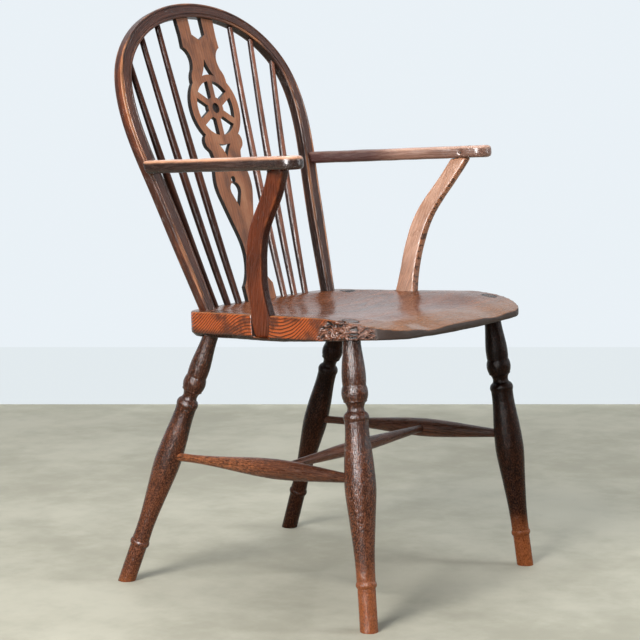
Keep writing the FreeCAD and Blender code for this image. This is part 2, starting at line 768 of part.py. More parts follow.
def build_screw(side, middle):
    """A countersunk slotted screw through the back of the bow into the end of the arm."""
    level = (arm_z - arm_thick / 2.0 - bow_z) / math.cos(math.radians(bow_rake))
    low = middle.parameter(V(bow_line[4][0], bow_line[4][1], 0))
    high = middle.parameter(V(bow_line[0][0], bow_line[0][1], 0))
    for _ in range(search_steps):
        centre = (low + high) / 2.0
        if middle.value(centre).y > level:
            low = centre
        else:
            high = centre
    at = middle.value(low)
    base = bow_place.multVec(V(side * at.x, level, -bow_depth))
    direction = bow_place.Rotation.multVec(Z_AXIS)
    head_r = screw_head_d / 2.0
    shank_r = screw_shank_d / 2.0
    straight_end = screw_length - screw_point
    runs = joined([[(0.0, head_r), (screw_head_depth, shank_r)], [(straight_end, shank_r)],
                   [(screw_length, screw_tip_r)]])
    body = turned(runs, base, direction)
    slot = Part.makeBox(2 * screw_head_d, screw_slot, 2 * screw_slot,
                        V(-screw_head_d, -screw_slot / 2.0, -screw_slot))
    slot = placed(slot, FreeCAD.Placement(base, axis_rotation(direction)))
    hole_runs = joined([[(-past_face, head_r + glue_gap), (0.0, head_r + glue_gap)],
                        [(screw_head_depth, shank_r + glue_gap)], [(straight_end, shank_r + glue_gap)],
                        [(screw_length + glue_gap, screw_tip_r + glue_gap)]])
    hole = turned(hole_runs, base, direction)
    return one_solid(body.cut(slot), "screw"), hole


def main():
    os.makedirs("parts", exist_ok=True)
    blank = seat_blank()
    blank = placed(blank, seat_place)
    seat = blank.copy()
    bow, bow_wedges, bow_holes, middle = build_bow(blank)
    for hole in bow_holes:
        seat = seat.cut(hole)

    leg_wedges = []
    legs = {}
    for side_name, side in SIDES.items():
        for row, foot, socket in (("front", front_foot, front_socket), ("rear", rear_foot, rear_socket)):
            name = row + "_" + side_name
            leg, wedge, hole = build_leg(name, foot, socket, side, blank)
            legs[name] = leg
            leg_wedges.append(wedge)
            seat = seat.cut(hole)

    swells = {}
    for side_name, side in SIDES.items():
        front_start, front_dir = leg_axis(front_foot, front_socket, side)
        rear_start, rear_dir = leg_axis(rear_foot, rear_socket, side)
        front_point = at_height(front_start, front_dir, stretcher_z_front)
        rear_point = at_height(rear_start, rear_dir, stretcher_z_rear)
        direction = (front_point - rear_point).normalize()
        inset = max(r for _, r in leg_swell) - stretcher_socket
        base = rear_point + direction * inset
        end = front_point - direction * inset
        length = (end - base).Length
        runs = stretcher_runs(length, side_rear_r, side_front_r, side_swell_r, side_swell_at)
        stretcher = turned(runs, base, direction)
        spare = direction * glue_gap
        inner = direction * past_board
        rear_hole = rod(base - spare, base + inner, 2 * (side_rear_r + glue_gap))
        front_hole = rod(end - inner, end + spare, 2 * (side_front_r + glue_gap))
        legs["rear_" + side_name] = legs["rear_" + side_name].cut(rear_hole)
        legs["front_" + side_name] = legs["front_" + side_name].cut(front_hole)
        swells[side_name] = (stretcher, base + direction * (side_swell_at * length))
    left_mid = swells["left"][1]
    right_mid = swells["right"][1]
    direction = (left_mid - right_mid).normalize()
    inset = side_swell_r - cross_socket
    base = right_mid + direction * inset
    length = (left_mid - right_mid).Length - 2 * inset
    cross = turned(stretcher_runs(length, cross_end_r, cross_end_r, cross_swell_r, 0.5), base, direction)
    end = base + direction * (length + glue_gap)
    hole = rod(base - direction * glue_gap, end, 2 * (cross_end_r + glue_gap))
    save("cross_stretcher", one_solid(cross, "cross stretcher"))
    for side_name in SIDES:
        save("side_stretcher_" + side_name, one_solid(swells[side_name][0].cut(hole), "side stretcher"))
    for name, leg in legs.items():
        save("leg_" + name, one_solid(leg, name))
    save("leg_wedges", Part.makeCompound(leg_wedges))
    save("bow_wedges", Part.makeCompound(bow_wedges))

    for side_name, side in SIDES.items():
        for number, (seat_x, bow_x) in enumerate(zip(stick_seat_x, stick_bow_x), 1):
            stick, hole = build_stick(side, seat_x, bow_x, middle)
            seat = seat.cut(hole)
            bow = bow.cut(hole)
            save("stick_" + side_name + "_" + str(number), stick)

    splat = build_splat(middle)
    save("splat", splat)
    seat = seat.cut(splat)
    bow = bow.cut(splat)

    arm_wedges = []
    screws = []
    pins = []
    for side_name, side in SIDES.items():
        arm = arm_blank(side)
        support, hole, wedge, pin_start, pin_dir = build_support(side, arm)
        arm_wedges.append(wedge)
        pin_outside = pin_start - pin_dir * past_face
        pin = rod(pin_outside, pin_start + pin_dir * pin_length, pin_d).common(arm)
        pin_end = pin_start + pin_dir * (pin_length + glue_gap)
        pin_hole = rod(pin_outside, pin_end, pin_d + 2 * glue_gap)
        screw, screw_hole = build_screw(side, middle)
        bow = bow.cut(screw_hole)
        arm = arm.cut(hole).cut(pin_hole).cut(screw_hole)
        support = support.cut(pin_hole)
        notch = support_loft(side, support_stations[:3], glue_gap, True)
        seat = seat.cut(notch)
        pins.append(one_solid(pin, "pin"))
        screws.append(screw)
        save("arm_" + side_name, one_solid(arm, "arm"))
        save("arm_support_" + side_name, one_solid(support, "support"))
    save("arm_wedges", Part.makeCompound(arm_wedges))
    save("arm_pins", Part.makeCompound(pins))
    save("arm_screws", Part.makeCompound(screws))
    save("bow", one_solid(bow, "bow"))
    save("seat", one_solid(seat, "seat"))


main()
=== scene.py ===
"""Looks of an old Windsor armchair: worn elm seat, dark bent bow, pierced splat, turned legs."""
import json
import math

import bmesh
import bpy
import numpy as np
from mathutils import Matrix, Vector, noise
from mathutils.kdtree import KDTree

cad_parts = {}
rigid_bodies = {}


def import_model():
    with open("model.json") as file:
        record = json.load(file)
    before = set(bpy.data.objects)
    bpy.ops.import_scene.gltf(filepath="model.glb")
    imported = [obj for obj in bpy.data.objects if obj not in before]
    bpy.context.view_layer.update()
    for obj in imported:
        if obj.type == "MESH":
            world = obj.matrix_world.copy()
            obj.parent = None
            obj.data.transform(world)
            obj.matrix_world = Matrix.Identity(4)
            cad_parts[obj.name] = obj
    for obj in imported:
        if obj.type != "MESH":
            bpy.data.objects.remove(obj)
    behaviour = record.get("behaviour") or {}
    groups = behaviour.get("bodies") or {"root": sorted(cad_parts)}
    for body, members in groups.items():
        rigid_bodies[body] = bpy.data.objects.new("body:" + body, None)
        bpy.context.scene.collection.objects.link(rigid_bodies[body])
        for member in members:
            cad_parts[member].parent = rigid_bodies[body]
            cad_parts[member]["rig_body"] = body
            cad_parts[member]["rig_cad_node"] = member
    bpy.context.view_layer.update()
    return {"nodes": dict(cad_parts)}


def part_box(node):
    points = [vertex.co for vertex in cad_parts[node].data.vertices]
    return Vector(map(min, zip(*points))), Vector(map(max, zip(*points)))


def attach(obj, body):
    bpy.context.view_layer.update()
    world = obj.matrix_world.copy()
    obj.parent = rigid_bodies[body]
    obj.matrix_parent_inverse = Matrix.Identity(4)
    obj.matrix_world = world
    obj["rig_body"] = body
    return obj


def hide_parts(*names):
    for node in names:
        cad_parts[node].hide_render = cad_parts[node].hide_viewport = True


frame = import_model()
nodes = frame["nodes"]

SIDES = ("left", "right")

# Camera, in metres and degrees. Yaw turns from +Y towards +X, pitch is downward.
CAMERA_AT = (-2.3454, -1.6525, 0.7676)
CAMERA_YAW = 54.82
CAMERA_PITCH = 7.32
CAMERA_LENS = 105.2
CAMERA_SENSOR = 36.0

# Floor, skirting and wall. The wall stands WALL_BEHIND past the chair, across the camera's view.
WALL_BEHIND = 1.53
FLOOR_HALF = 7.0
SKIRTING_HEIGHT = 0.1375
WALL_COLOUR = (0.82, 0.88, 0.925)
SKIRTING_COLOUR = (0.765, 0.825, 0.855)
FLOOR_COLOURS = ((0.335, 0.325, 0.262), (0.45, 0.438, 0.362))
FLOOR_SHINE = 0.10

# Light. Each lamp has a place, a size, a power and a tint. The gleam makes reflections only, as a
# window does in old wax.
SOFT_LIGHT = (0.90, 0.95, 1.0)
SOFT_STRENGTH = 0.20
LAMPS_AIM = (0.0, 0.0, 0.40)
LAMPS = {
    "key": dict(at=(-2.5, -0.20, 2.10), size=(1.0, 1.3), power=115.0, tint=(1.0, 0.97, 0.93)),
    "top": dict(at=(0.3, 0.2, 2.8), size=(1.8, 1.8), power=50.0, tint=(0.96, 0.98, 1.0)),
    "window": dict(at=(1.35, -2.45, 1.15), size=(0.7, 1.6), power=34.0, tint=(0.95, 0.98, 1.0)),
    "gleam": dict(at=(-2.5, -0.75, 1.30), size=(0.55, 1.6), power=290.0, tint=(1.0, 0.98, 0.98)),
}
REFLECTION_LAMPS = ("gleam",)

# Wood tones, as linear colours from the darkest patina to the lightest fibres.
TONES = {
    "seat": dict(dark=(0.036, 0.010, 0.004), middle=(0.135, 0.040, 0.014), light=(0.24, 0.078, 0.027)),
    "bow": dict(dark=(0.010, 0.004, 0.003), middle=(0.060, 0.020, 0.012), light=(0.125, 0.043, 0.025)),
    "splat": dict(dark=(0.11, 0.038, 0.017), middle=(0.27, 0.098, 0.043), light=(0.38, 0.150, 0.070)),
    "stick": dict(dark=(0.005, 0.002, 0.0015), middle=(0.022, 0.006, 0.0035), light=(0.055, 0.014, 0.007)),
    "arm_right": dict(dark=(0.010, 0.005, 0.004), middle=(0.036, 0.017, 0.013), light=(0.075, 0.038, 0.029)),
    # The far arm's tones are a lighter, pinker copy of the near arm's, with painted sheen in them.
    "arm_left": dict(dark=(0.085, 0.038, 0.027), middle=(0.24, 0.125, 0.090), light=(0.36, 0.21, 0.16)),
    "support_right": dict(dark=(0.025, 0.005, 0.002), middle=(0.105, 0.020, 0.006),
                          light=(0.19, 0.038, 0.011)),
    # The far support's tones are a lighter, pinker copy of the near support's, with painted sheen in them.
    "support_left": dict(dark=(0.24, 0.110, 0.065), middle=(0.50, 0.28, 0.19), light=(0.66, 0.43, 0.33)),
    "leg_right": dict(dark=(0.006, 0.002, 0.001), middle=(0.036, 0.010, 0.0045), light=(0.085, 0.025, 0.010)),
    # The far legs' tones are a darker copy of the near legs': painted shade, as they stand in the seat's
    # shadow.
    "leg_left": dict(dark=(0.003, 0.001, 0.0006), middle=(0.010, 0.003, 0.0015), light=(0.024, 0.007, 0.003)),
    "stretcher": dict(dark=(0.012, 0.004, 0.002), middle=(0.075, 0.023, 0.010), light=(0.17, 0.055, 0.023)),
}
# The colour of each where the finish is rubbed off.
WORN = {
    "seat": (0.38, 0.15, 0.050),
    "bow": (0.42, 0.17, 0.070),
    "stick": (0.24, 0.088, 0.050),
    "arm_right": (0.60, 0.30, 0.18),
    "arm_left": (0.50, 0.30, 0.22),
    "support_right": (0.36, 0.085, 0.022),
    "support_left": (0.50, 0.20, 0.08),
    "leg_right": (0.23, 0.070, 0.028),
    # The far legs' worn colour is a darker copy too: painted shade.
    "leg_left": (0.070, 0.024, 0.011),
    "stretcher": (0.36, 0.125, 0.050),
}

# Index of refraction of the finish: thin old wax, dulled wax, the polished seat, the handled arms.
WAX_IOR = 1.34
DULL_IOR = 1.17
SEAT_IOR = 1.40
ARM_IOR = 1.44
# Shallow hollows all over the wood, per metre.
DENT_SCALE = 95.0


def camera_ahead():
    """The camera's level direction of view."""
    yaw = math.radians(CAMERA_YAW)
    return Vector((math.sin(yaw), math.cos(yaw), 0.0))


def add_to_scene(obj):
    bpy.context.scene.collection.objects.link(obj)
    return obj


def colour(value):
    return value if isinstance(value, bpy.types.NodeSocket) else (*value, 1.0)


class Graph:
    """A node tree, with short calls for the nodes used here."""

    def __init__(self, tree):
        self.tree = tree
        self.tree.nodes.clear()

    def node(self, kind, **settings):
        made = self.tree.nodes.new(kind)
        for key, value in settings.items():
            setattr(made, key, value)
        return made

    def put(self, socket, value):
        """Link a socket or set a value."""
        if isinstance(value, bpy.types.NodeSocket):
            self.tree.links.new(value, socket)
        elif value is not None:
            socket.default_value = value

    def math(self, operation, a, b=None, c=None):
        made = self.node("ShaderNodeMath", operation=operation)
        for socket, value in zip(made.inputs, (a, b, c)):
            self.put(socket, value)
        return made.outputs[0]

    def product(self, *values):
        made = values[0]
        for value in values[1:]:
            made = self.math("MULTIPLY", made, value)
        return made

    def vector(self, operation, a, b=None):
        made = self.node("ShaderNodeVectorMath", operation=operation)
        for socket, value in zip(made.inputs, (a, b)):
            self.put(socket, value)
        return made.outputs["Value" if operation in ("LENGTH", "DOT_PRODUCT") else "Vector"]

    def split(self, vector):
        made = self.node("ShaderNodeSeparateXYZ")
        self.put(made.inputs[0], vector)
        return made.outputs

    def merge(self, x, y, z):
        made = self.node("ShaderNodeCombineXYZ")
        for socket, value in zip(made.inputs, (x, y, z)):
            self.put(socket, value)
        return made.outputs[0]

    def noise(self, at, scale, detail=3.0, roughness=0.5, distortion=0.0):
        made = self.node("ShaderNodeTexNoise")
        for key, value in (("Vector", at), ("Scale", scale), ("Detail", detail),
                           ("Roughness", roughness), ("Distortion", distortion)):
            self.put(made.inputs[key], value)
        return made.outputs["Fac"]

    def streaks(self, grain, across, along, detail=3.0, roughness=0.5, distortion=0.0):
        """Noise with one scale across the grain and another along it."""
        stretched = self.vector("MULTIPLY", grain, (across, across, along))
        return self.noise(stretched, 1.0, detail, roughness, distortion)

    def step(self, value, low, high, to_low=0.0, to_high=1.0, kind="SMOOTHSTEP"):
        """From to_low at low to to_high at high, which may lie under it."""
        made = self.node("ShaderNodeMapRange", interpolation_type=kind)
        for socket, number in zip(made.inputs, (value, low, high, to_low, to_high)):
            self.put(socket, number)
        return made.outputs[0]

    def band(self, value, middle, outer, inner):
        """1 within inner of the middle, 0 past outer."""
        away = self.math("ABSOLUTE", self.math("SUBTRACT", value, middle))
        return self.step(away, outer, inner)

    def mix(self, share, a, b):
        made = self.node("ShaderNodeMix", data_type="RGBA")
        self.put(made.inputs[0], share)
        self.put(made.inputs[6], colour(a))
        self.put(made.inputs[7], colour(b))
        return made.outputs[2]

    def mix_surfaces(self, share, a, b):
        made = self.node("ShaderNodeMixShader")
        for socket, value in zip(made.inputs, (share, a, b)):
            self.put(socket, value)
        return made.outputs[0]

    def bump(self, height, distance, normal=None):
        made = self.node("ShaderNodeBump")
        self.put(made.inputs["Strength"], 1.0)
        self.put(made.inputs["Height"], height)
        self.put(made.inputs["Distance"], distance)
        self.put(made.inputs["Normal"], normal)
        return made.outputs[0]

    def place(self):
        return self.node("ShaderNodeTexCoord").outputs["Object"]

    def normal(self):
        return self.node("ShaderNodeTexCoord").outputs["Normal"]

    def facing(self, axis):
        """1 on a face that looks along the axis, either way."""
        return self.math("ABSOLUTE", self.vector("DOT_PRODUCT", self.normal(), tuple(axis)))

    def facing_front(self):
        return self.math("MULTIPLY", self.split(self.normal())[1], -1.0)

    def attribute(self, name, vector=False):
        made = self.node("ShaderNodeAttribute", attribute_name=name)
        return made.outputs["Vector" if vector else "Fac"]


class Shader(Graph):
    """A new material and its surface."""

    def __init__(self, name):
        self.material = bpy.data.materials.new(name)
        self.material.use_nodes = True
        super().__init__(self.material.node_tree)
        self.output = self.node("ShaderNodeOutputMaterial")
        self.body = self.node("ShaderNodeBsdfPrincipled")
        self.put(self.output.inputs["Surface"], self.body.outputs["BSDF"])


def principal_axis(obj):
    """The middle of a piece and the direction of its longest extent, pointing up or towards +Y."""
    points = np.array([v.co for v in obj.data.vertices])
    middle = points.mean(0)
    axis = np.linalg.svd(points - middle, full_matrices=False)[2][0]
    level = 0.2
    if axis[2] < -level or (abs(axis[2]) <= level and axis[1] < 0):
        axis = -axis
    return Vector(middle), Vector(axis)


def grain_frame(shader, origin, axis):
    """Coordinates in a piece's own frame, with the grain along the third."""
    made = shader.node("ShaderNodeMapping", vector_type="TEXTURE")
    shader.put(made.inputs["Vector"], shader.place())
    made.inputs["Location"].default_value = origin
    made.inputs["Rotation"].default_value = axis.to_track_quat("Z", "X").to_euler()
    return made.outputs[0]


def wood(shader, grain, tones, spacing=0.0035, pith=(0.03, 0.02, 0.0), rings=None, ring_depth=0.5,
         fibre_across=620.0, fibre_along=16.0, pores=0.5, blotch=0.5):
    """Ring lines, fibres, pores and uneven patina. Gives the colour, their values and a height."""
    ring_waver = 0.016
    bend = shader.streaks(grain, 14.0, 4.0, 2.0)
    if rings is None:
        flat = shader.vector("MULTIPLY", shader.vector("SUBTRACT", grain, pith), (1.0, 1.0, 0.0))
        rings = shader.vector("LENGTH", flat)
    rings = shader.math("MULTIPLY_ADD", bend, ring_waver, rings)
    phase = shader.math("FRACT", shader.math("DIVIDE", rings, spacing))
    late = shader.product(shader.step(phase, 0.35, 0.86), shader.step(phase, 1.0, 0.93))
    fibre = shader.streaks(grain, fibre_across, fibre_along, 4.0, 0.6)
    pore = shader.step(shader.streaks(grain, 1500.0, 70.0, 2.0), 0.60, 0.70)
    patina = shader.step(shader.streaks(grain, 26.0, 9.0, 4.0, 0.6), 0.36, 0.66)
    base = shader.mix(shader.step(fibre, 0.35, 0.68), tones["middle"], tones["light"])
    base = shader.mix(shader.product(late, ring_depth), base, tones["dark"])
    base = shader.mix(shader.product(shader.math("SUBTRACT", 1.0, patina), blotch), base, tones["dark"])
    base = shader.mix(shader.product(pore, pores), base, tones["dark"])
    pore_rise, fibre_rise, ring_rise = -0.7, 0.6, 0.25
    height = shader.math("MULTIPLY_ADD", pore, pore_rise, shader.product(fibre, fibre_rise))
    height = shader.math("MULTIPLY_ADD", late, ring_rise, height)
    return dict(colour=base, fibre=fibre, pore=pore, patina=patina, late=late, height=height)


def sheen(shader, made, low, high):
    """Roughness between two values, as the fibres go."""
    return shader.step(made["fibre"], 0.3, 0.75, low, high)


def finish_surface(shader, shade, roughness, height, depth, dents=0.0006, ior=WAX_IOR):
    """Colour, waxed gloss and relief of a wooden surface."""
    shader.put(shader.body.inputs["Base Color"], shade)
    shader.put(shader.body.inputs["Roughness"], roughness)
    shader.body.inputs["IOR"].default_value = ior
    hollow = shader.noise(shader.place(), DENT_SCALE, 3.0, 0.55)
    normal = shader.bump(height, depth, normal=shader.bump(hollow, dents))
    shader.put(shader.body.inputs["Normal"], normal)
    return shader.material


def edge_share(shader, axes, low=0.97, high=0.84):
    """1 on rounded arrises, 0 on faces that look along any of the given directions."""
    best = shader.facing(axes[0])
    for axis in axes[1:]:
        best = shader.math("MAXIMUM", best, shader.facing(axis))
    return shader.step(best, low, high)


def straight_piece(name, look, worn_axes=None, wear=0.6, **settings):
    """A material of its own for a piece whose grain runs along its length."""
    origin, axis = principal_axis(nodes[name])
    shader = Shader(name + "_wood")
    grain = grain_frame(shader, origin, axis)
    made = wood(shader, grain, TONES[look], **settings)
    shade = made["colour"]
    if worn_axes:
        edge = edge_share(shader, worn_axes)
        patchy = shader.step(shader.noise(shader.place(), 55.0, 3.0), 0.36, 0.60)
        shade = shader.mix(shader.product(edge, patchy, wear), shade, WORN[look])
    return shader, grain, made, shade


def dress(target, material):
    """Give a node, by name, or a piece of the scene one material."""
    slots = (nodes[target] if isinstance(target, str) else target).data.materials
    slots.clear()
    slots.append(material)


def copy_of(node, name):
    made = nodes[node].copy()
    made.data = nodes[node].data.copy()
    made.name = name
    made.parent = None
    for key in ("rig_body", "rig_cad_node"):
        if key in made:
            del made[key]
    return add_to_scene(made)


def remesh(obj, voxel, passes=0):
    """Even out a piece's mesh into small faces and smooth it in passes."""
    evened = obj.modifiers.new("remesh", "REMESH")
    evened.mode = "VOXEL"
    evened.voxel_size = voxel
    if passes:
        smooth = obj.modifiers.new("smooth", "SMOOTH")
        smooth.iterations = passes
    graph = bpy.context.evaluated_depsgraph_get()
    mesh = bpy.data.meshes.new_from_object(obj.evaluated_get(graph))
    obj.modifiers.clear()
    obj.data = mesh


def softened(node, voxel, passes, worn):
    """A copy of a solid with rubbed arrises and slightly uneven faces, which stands for it."""
    wear_scale = 38.0
    piece = copy_of(node, node + "_worn")
    remesh(piece, voxel, passes)
    shape = bmesh.new()
    shape.from_mesh(piece.data)
    shape.normal_update()
    moves = [v.normal * worn * noise.noise(v.co * wear_scale) for v in shape.verts]
    for v, move in zip(shape.verts, moves):
        v.co += move
    shape.to_mesh(piece.data)
    shape.free()
    piece.data.shade_smooth()
    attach(piece, "root")
    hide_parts(node)
    return piece


# Seat: a remeshed copy of the solid, with the gnarled corner carved in and joint grime measured.
# Pairs are a scale per metre and a height in metres.
SEAT_VOXEL = 0.0022
SEAT_WEAR = ((34.0, 0.0004), (110.0, 0.0002))
GNARL_FROM = Vector((-0.2160, -0.164, 0.415))
GNARL_TO = Vector((-0.2090, -0.218, 0.414))
GNARL_REACH = 0.0195
GNARL_FADE = 0.005
GNARL_RAGGED = ((75.0, 0.007), (190.0, 0.003))
GNARL_DEPTH = 0.0050
# The seed of the swirl's random offsets, which keeps the bark the same in every run.
BARK_SEED = 7
BARK_SWIRL = 0.006
BARK_SWIRL_SCALE = 85.0
BARK_SCALE = (75.0, 75.0, 230.0)
# Dimension, lacunarity, octaves, offset and gain of the bark's ridges.
BARK_RIDGES = (1.0, 2.1, 3.0, 1.0, 2.0)
BARK_RISE = 0.55
BARK_SINK = 0.95
BARK_CUTS = 2
# Pieces that come within these heights can leave grime where they meet the seat.
JOINT_HEIGHTS = (0.38, 0.45)
GRIME_REACH = 0.0035


def uneven(point, layers):
    return sum(height * noise.noise(point * scale) for scale, height in layers)


def segment_distance(point, start, end):
    along = end - start
    share = min(max((point - start).dot(along) / along.length_squared, 0.0), 1.0)
    return (point - start - along * share).length


def gnarl_share(point):
    """How much of the rough bark-like knot there is at a point of the seat, from 0 to 1."""
    distance = segment_distance(point, GNARL_FROM, GNARL_TO)
    share = (GNARL_REACH - distance + uneven(point, GNARL_RAGGED)) / GNARL_FADE
    return min(max(share, 0.0), 1.0)


def bark_ridge(point):
    swirl = point + noise.noise_vector(point * BARK_SWIRL_SCALE) * BARK_SWIRL
    bark_at = Vector([value * scale for value, scale in zip(swirl, BARK_SCALE)])
    return noise.ridged_multi_fractal(bark_at, *BARK_RIDGES)


def carve_seat(seat):
    """Cut the gnarl's bark into the mesh and wear the rest. Gives both values at each vertex."""
    shape = bmesh.new()
    shape.from_mesh(seat.data)
    for _ in range(BARK_CUTS):
        edges = [e for e in shape.edges if gnarl_share((e.verts[0].co + e.verts[1].co) / 2) > 0.0]
        bmesh.ops.subdivide_edges(shape, edges=edges, cuts=1, use_grid_fill=True, smooth=0.0)
    shape.normal_update()
    gnarls = [gnarl_share(v.co) for v in shape.verts]
    ridges = [bark_ridge(v.co) for v in shape.verts]
    moves = []
    for v, share, ridge in zip(shape.verts, gnarls, ridges):
        carved = share * GNARL_DEPTH * (BARK_RISE * ridge - BARK_SINK)
        moves.append(v.normal * (carved + uneven(v.co, SEAT_WEAR) * (1.0 - share)))
    for v, move in zip(shape.verts, moves):
        v.co += move
    shape.to_mesh(seat.data)
    shape.free()
    seat.data.shade_smooth()
    return gnarls, ridges


def joint_grime(seat):
    """1 where another piece touches the seat, 0 past the grime's reach."""
    low, high = JOINT_HEIGHTS
    others = [o for n, o in nodes.items() if n != "seat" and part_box(n)[0].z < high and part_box(n)[1].z > low]
    places = [v.co for o in others for v in o.data.vertices]
    tree = KDTree(len(places))
    for index, place in enumerate(places):
        tree.insert(place, index)
    tree.balance()
    distances = [tree.find(v.co)[2] for v in seat.data.vertices]
    return [min(max(1.0 - distance / GRIME_REACH, 0.0), 1.0) for distance in distances]


def build_seat():
    noise.seed_set(BARK_SEED)
    seat = copy_of("seat", "seat_elm")
    remesh(seat, SEAT_VOXEL)
    gnarls, ridges = carve_seat(seat)
    for name, values in (("gnarl", gnarls), ("ridge", ridges), ("grime", joint_grime(seat))):
        layer = seat.data.attributes.new(name, "FLOAT", "POINT")
        layer.data.foreach_set("value", np.array(values, np.float32))
    dress(seat, seat_material())
    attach(seat, "root")
    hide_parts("seat")


# The tree's rings pass through the plank as a tilted wave: per metre, radians, metres, slopes.
RING_WAVE = 31.4
RING_PHASE = 1.885
RING_SWING = 0.018
RING_SLOPE = 0.45
RING_SKEW = 0.03
# The seat's heights and depths where its looks change, in metres.
SIDE_FOOT = (0.402, 0.394)
SIDE_FRONT = (-0.222, -0.19)
LIP_FROM = (-0.175, -0.235)
SEAT_SHADES = dict(
    side=(0.42, 0.088, 0.018),
    side_ring=(0.040, 0.010, 0.004),
    side_pore=(0.04, 0.012, 0.006),
    side_patina=(0.060, 0.019, 0.010),
    side_foot=(0.045, 0.017, 0.009),
    # The front's two shades below are painted shade on the front face.
    front_dark=(0.012, 0.006, 0.004),
    front_light=(0.055, 0.022, 0.011),
    lip_dark=(0.11, 0.040, 0.012),
    lip_light=(0.27, 0.115, 0.038),
    # The underside's near black is partly the wood's own dark colour and partly painted shade.
    under=(0.022, 0.010, 0.006),
    bark_hollow=(0.010, 0.004, 0.003),
    bark=(0.17, 0.058, 0.028),
    # Painted highlight on the bark's crests.
    bark_crest=(0.62, 0.45, 0.38),
    grime=(0.012, 0.007, 0.005),
)


def seat_rings(shader, x, y, z):
    ahead = shader.math("MULTIPLY", y, -1.0)
    wave = shader.math("SINE", shader.math("MULTIPLY_ADD", ahead, RING_WAVE, RING_PHASE))
    rise = shader.math("MULTIPLY_ADD", wave, RING_SWING, shader.product(ahead, RING_SLOPE))
    rise = shader.math("MULTIPLY_ADD", x, RING_SKEW, rise)
    return shader.math("SUBTRACT", z, rise)


def seat_side(shader, made, z, end):
    """Orange end grain at the sides; nearly black along the front, which is painted shade."""
    tones = SEAT_SHADES
    shade = shader.mix(made["late"], tones["side"], tones["side_ring"])
    shade = shader.mix(shader.product(made["pore"], 0.45), shade, tones["side_pore"])
    shade = shader.mix(shader.step(made["patina"], 0.6, 0.0, 0.0, 0.85), shade, tones["side_patina"])
    shade = shader.mix(shader.step(z, *SIDE_FOOT, 0.0, 0.8), shade, tones["side_foot"])
    # Painted shade: the front face is made nearly black.
    painted_shade_front = shader.mix(made["fibre"], tones["front_dark"], tones["front_light"])
    return shader.mix(end, painted_shade_front, shade)


def seat_material():
    shader = Shader("elm_seat")
    tones = SEAT_SHADES
    place = shader.place()
    x, y, z = shader.split(place)
    rings = seat_rings(shader, x, y, z)
    made = wood(shader, shader.merge(y, z, x), TONES["seat"], spacing=0.0052, rings=rings, ring_depth=0.55,
                fibre_across=560.0, fibre_along=22.0, pores=0.6, blotch=0.4)
    facing = shader.split(shader.normal())
    up = facing[2]
    top = shader.step(up, 0.45, 0.75)
    under = shader.step(up, -0.35, -0.7)
    end = shader.step(shader.math("ABSOLUTE", facing[0]), 0.45, 0.72)
    end = shader.product(end, shader.step(y, *SIDE_FRONT))
    shade = shader.mix(top, seat_side(shader, made, z, end), made["colour"])
    lip = shader.product(shader.step(y, *LIP_FROM), shader.step(up, 0.55, 0.75), 0.75)
    shade = shader.mix(lip, shade, shader.mix(made["fibre"], tones["lip_dark"], tones["lip_light"]))
    rim = shader.product(shader.step(up, 0.35, 0.7), shader.step(up, 0.97, 0.86), end, 0.6)
    shade = shader.mix(rim, shade, WORN["seat"])
    # Near black underneath: partly the wood's own dark colour, partly painted shade.
    shade = shader.mix(under, shade, tones["under"])
    gnarl = shader.attribute("gnarl")
    bark = shader.streaks(place, 150.0, 420.0, 4.0, 0.6, 1.2)
    ridge = shader.math("MULTIPLY_ADD", bark, 0.8, shader.attribute("ridge"))
    bark_shade = shader.mix(shader.step(ridge, 1.00, 1.75), tones["bark_hollow"], tones["bark"])
    # Pale pinkish-white on the bark's highest crests: painted highlight.
    bark_shade = shader.mix(shader.step(ridge, 1.78, 2.10), bark_shade, tones["bark_crest"])
    shade = shader.mix(gnarl, shade, bark_shade)
    shade = shader.mix(shader.product(shader.attribute("grime"), 0.85), shade, tones["grime"])
    rough = shader.math("MULTIPLY_ADD", gnarl, 0.05, sheen(shader, made, 0.18, 0.30))
    dull = shader.product(shader.math("SUBTRACT", 1.0, top), shader.math("SUBTRACT", 1.0, end))
    rough = shader.math("MULTIPLY_ADD", dull, 0.35, rough)
    height = shader.math("MULTIPLY_ADD", shader.product(gnarl, bark), 3.0, made["height"])
    return finish_surface(shader, shade, rough, height, 0.00024, dents=0.00012, ior=SEAT_IOR)


# Bow: a copy of the solid whose grain and wear follow the bend. Its line is half of it, from the
# foot to the top, as the distance from the middle and the height along the rake.
BOW_AT = Vector((0.0, 0.0905, 0.430))
BOW_RAKE = math.radians(19.0)
BOW_LINE = ((0.1507, -0.045), (0.1585, 0.0), (0.1775, 0.100), (0.197, 0.195), (0.2115, 0.265),
            (0.2145, 0.322), (0.201, 0.377), (0.172, 0.415), (0.129, 0.445), (0.076, 0.4645), (0.0, 0.4735))
BOW_STEPS = 16
BOW_BATCHES = 40
# Beads of the bow's face, by their distance from its middle line, outward, and the far half's fade. Their pale
# lines are partly wear and partly painted highlight; the inner bead's line, kept to the far half, is painted
# highlight.
OUTER_BEAD_AT = 0.0108
INNER_BEAD_AT = -0.0095
FAR_HALF = (0.03, 0.14)
BOW_SHADES = dict(side_dark=(0.045, 0.013, 0.007), side_red=(0.20, 0.055, 0.022),
                  inside=(0.010, 0.005, 0.004))


def smooth_line(points, steps):
    """A Catmull-Rom curve through points, as many samples to each span."""
    points = [np.array(p) for p in points]
    points = [2 * points[0] - points[1]] + points + [2 * points[-1] - points[-2]]
    made = []
    for a, b, c, d in zip(points, points[1:], points[2:], points[3:]):
        for k in range(steps):
            t = k / steps
            made.append(0.5 * (2 * b + (c - a) * t + (2 * a - 5 * b + 4 * c - d) * t ** 2
                               + (3 * b - a - 3 * c + d) * t ** 3))
    made.append(points[-2])
    return np.array(made)


